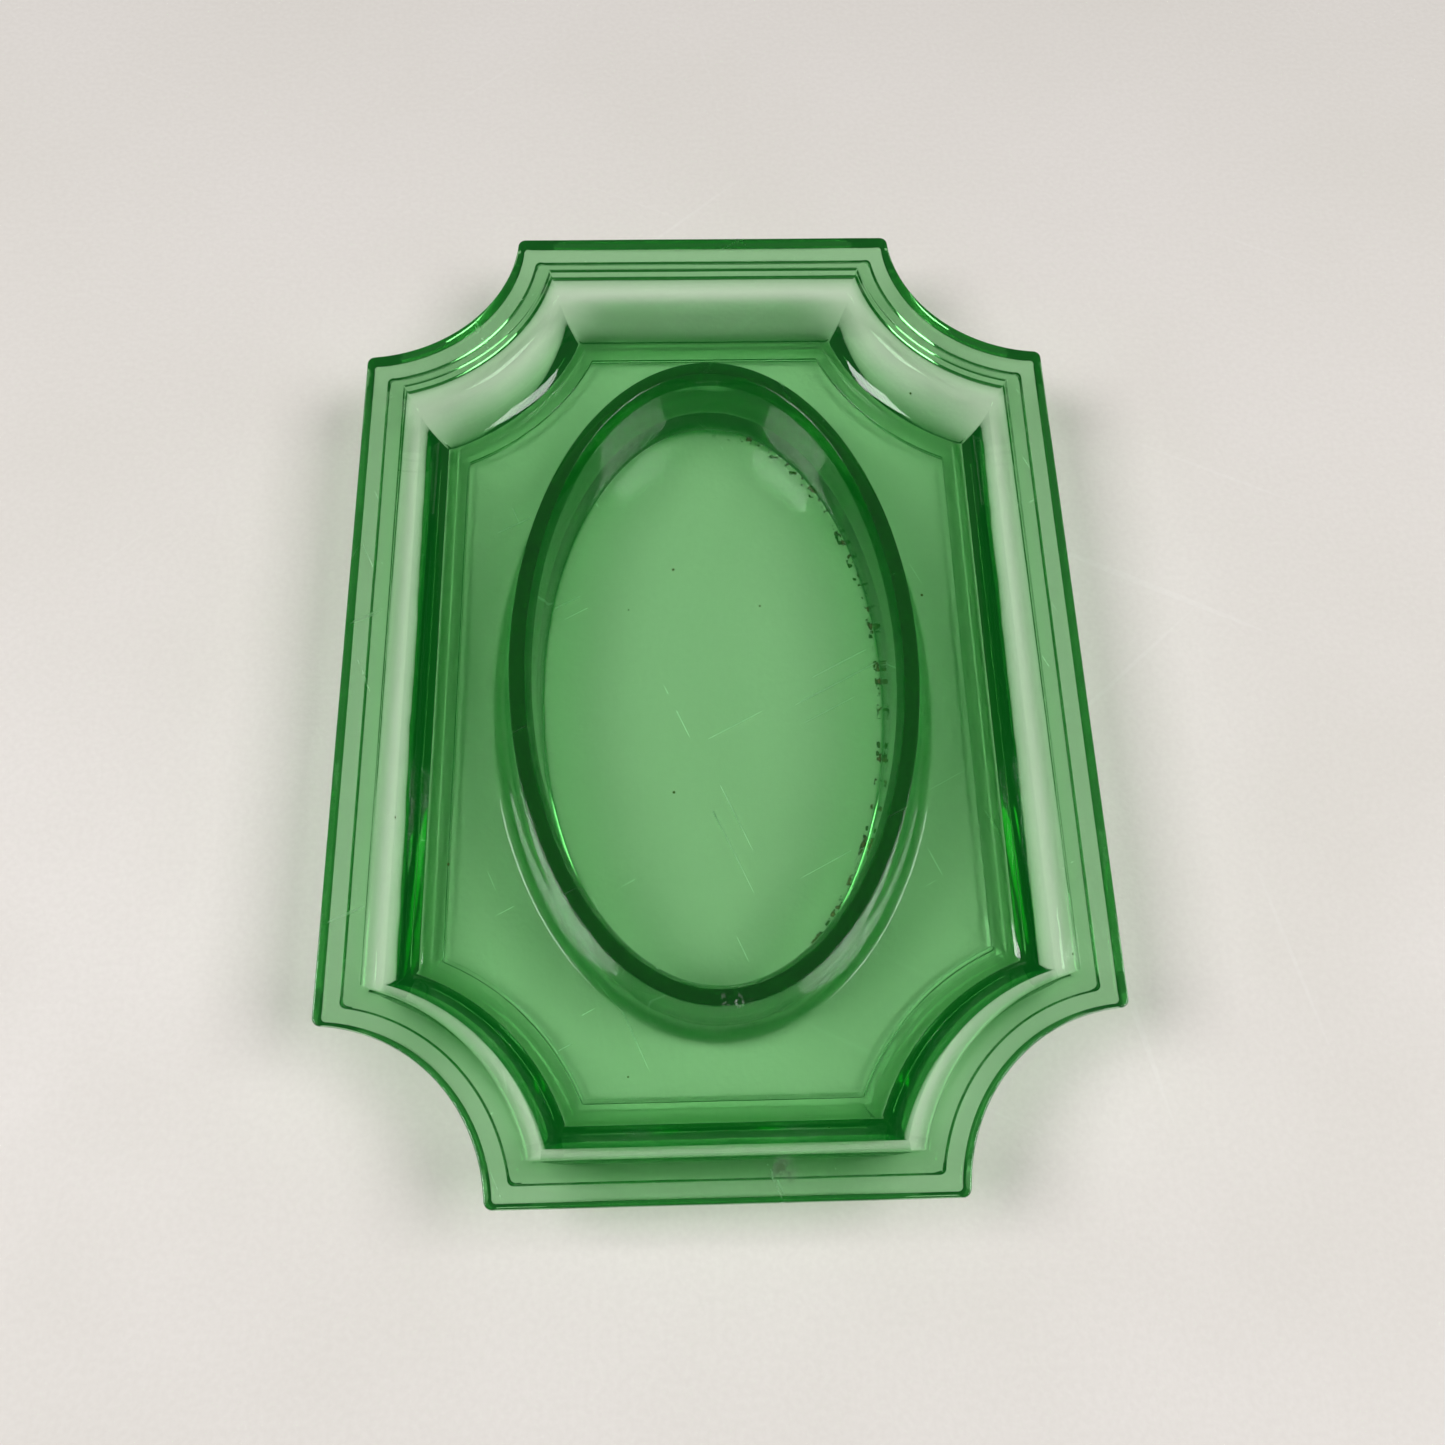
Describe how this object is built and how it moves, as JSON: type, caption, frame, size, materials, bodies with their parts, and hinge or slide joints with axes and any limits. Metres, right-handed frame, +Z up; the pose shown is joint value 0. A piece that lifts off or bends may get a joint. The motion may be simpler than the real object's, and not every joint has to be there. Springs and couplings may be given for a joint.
{
  "type": "glass dish",
  "caption": "Shallow pressed glass dish with a notched rectangular rim, a coved wall and an oval ring standing on its floor.",
  "frame": {"origin": "centre of the resting plane under the dish", "axes": "+Z up, +Y along the dish's length, +X across its width"},
  "size_m": [0.1774, 0.25, 0.0265],
  "materials": {
    "uranium_glass": "clear green pressed glass, polished, with light wear"
  },
  "bodies": {
    "root": {"dish": "uranium_glass"}
  },
  "joints": []
}
